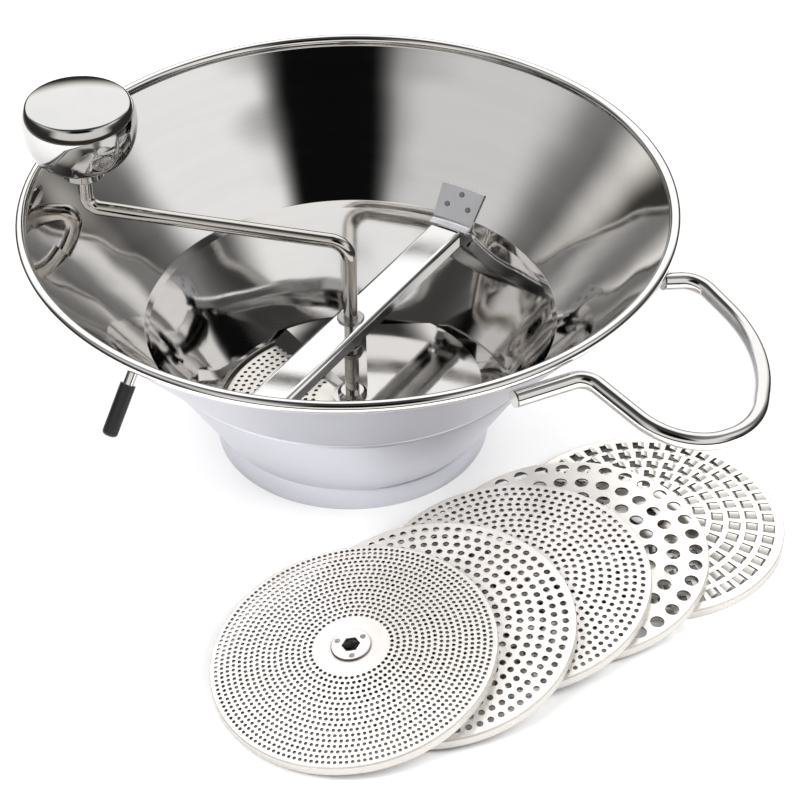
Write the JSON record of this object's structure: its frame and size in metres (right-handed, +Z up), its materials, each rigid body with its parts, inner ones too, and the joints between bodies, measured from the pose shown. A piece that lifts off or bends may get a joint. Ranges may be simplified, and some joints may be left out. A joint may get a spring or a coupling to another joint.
{
  "type": "rotary food mill",
  "caption": "Hand-cranked food mill: a flared steel bowl with a crossbar, cranked blade and loop handle, with a mounted disc and loose interchangeable discs beside it.",
  "frame": {"origin": "on the crank shaft's axis, in the plane that the mill's base ring and the loose discs stand on", "axes": "+Z up along the crank shaft; the loop handle points between +X and -Y, and the loose discs lie on the -Y side"},
  "size_m": [0.3564, 0.4023, 0.1695],
  "materials": {
    "bowl_steel": "satin outside, bright polished inside",
    "polished_steel": "polished stainless steel",
    "bracket_steel": "satin sheet, spot welded",
    "blade_steel": "polished sheet",
    "disc_steel": "bright perforated sheet",
    "hub_steel": "bright plain sheet, spot welded",
    "dark_steel": "dull turned or drawn steel",
    "black_sleeve": "dark satin plastic tube"
  },
  "bodies": {
    "mill": {"bowl": "bowl_steel", "loop_handle": "polished_steel", "rest_hook_front": "polished_steel", "rest_hook_back": "polished_steel", "hook_sleeve_front": "black_sleeve", "hook_sleeve_back": "black_sleeve", "bar_bracket_front": "bracket_steel", "bar_bracket_back": "bracket_steel", "mounted_disc": "disc_steel", "mounted_disc_hub": "hub_steel"},
    "bar": {"crossbar": "polished_steel", "bar_bush": "dark_steel", "pressure_spring": "dark_steel"},
    "seat": {"spring_seat": "dark_steel"},
    "crank": {"crank_rod": "polished_steel", "shaft_collar": "dark_steel", "blade": "blade_steel", "blade_hub": "blade_steel"},
    "knob": {"knob_shell": "polished_steel", "knob_neck": "polished_steel"},
    "grating_disc_loose": {"grating_disc": "disc_steel", "grating_disc_hub": "hub_steel"},
    "coarse_disc_loose": {"coarse_disc": "disc_steel", "coarse_disc_hub": "hub_steel"},
    "small_hole_disc_loose": {"small_hole_disc": "disc_steel", "small_hole_disc_hub": "hub_steel"},
    "medium_disc_loose": {"medium_disc": "disc_steel", "medium_disc_hub": "hub_steel"},
    "fine_disc_loose": {"fine_disc": "disc_steel", "fine_disc_hub": "hub_steel"}
  },
  "joints": [
    {"name": "bar_turn", "type": "hinge", "parent": "mill", "child": "bar", "pos_m": [0, 0, 0.0638], "axis": [0, 0, 1], "range_deg": [0, 30]},
    {"name": "blade_lift", "type": "slide", "parent": "bar", "child": "seat", "axis": [0, 0, 1], "range_m": [0, 0.004], "stiffness_N_per_m": 1500, "springref_m": -0.004, "deforming": ["pressure_spring"]},
    {"name": "crank_turn", "type": "hinge", "parent": "seat", "child": "crank", "pos_m": [0, 0, 0.06], "axis": [0, 0, 1], "continuous": true},
    {"name": "knob_turn", "type": "hinge", "parent": "crank", "child": "knob", "pos_m": [-0.12554, 0.036, 0.14], "axis": [0, 0, 1], "continuous": true},
    {"name": "grating_disc_draw", "type": "slide", "parent": "mill", "child": "grating_disc_loose", "axis": [-0.4305, -0.751, 0.5007], "range_m": [0, 0.05]},
    {"name": "coarse_disc_draw", "type": "slide", "parent": "grating_disc_loose", "child": "coarse_disc_loose", "axis": [-0.4305, -0.751, 0.5007], "range_m": [0, 0.05]},
    {"name": "small_hole_disc_draw", "type": "slide", "parent": "coarse_disc_loose", "child": "small_hole_disc_loose", "axis": [-0.4305, -0.751, 0.5007], "range_m": [0, 0.05]},
    {"name": "medium_disc_draw", "type": "slide", "parent": "small_hole_disc_loose", "child": "medium_disc_loose", "axis": [-0.4305, -0.751, 0.5007], "range_m": [0, 0.05]},
    {"name": "fine_disc_draw", "type": "slide", "parent": "medium_disc_loose", "child": "fine_disc_loose", "axis": [-0.4305, -0.751, 0.5007], "range_m": [0, 0.05]}
  ]
}
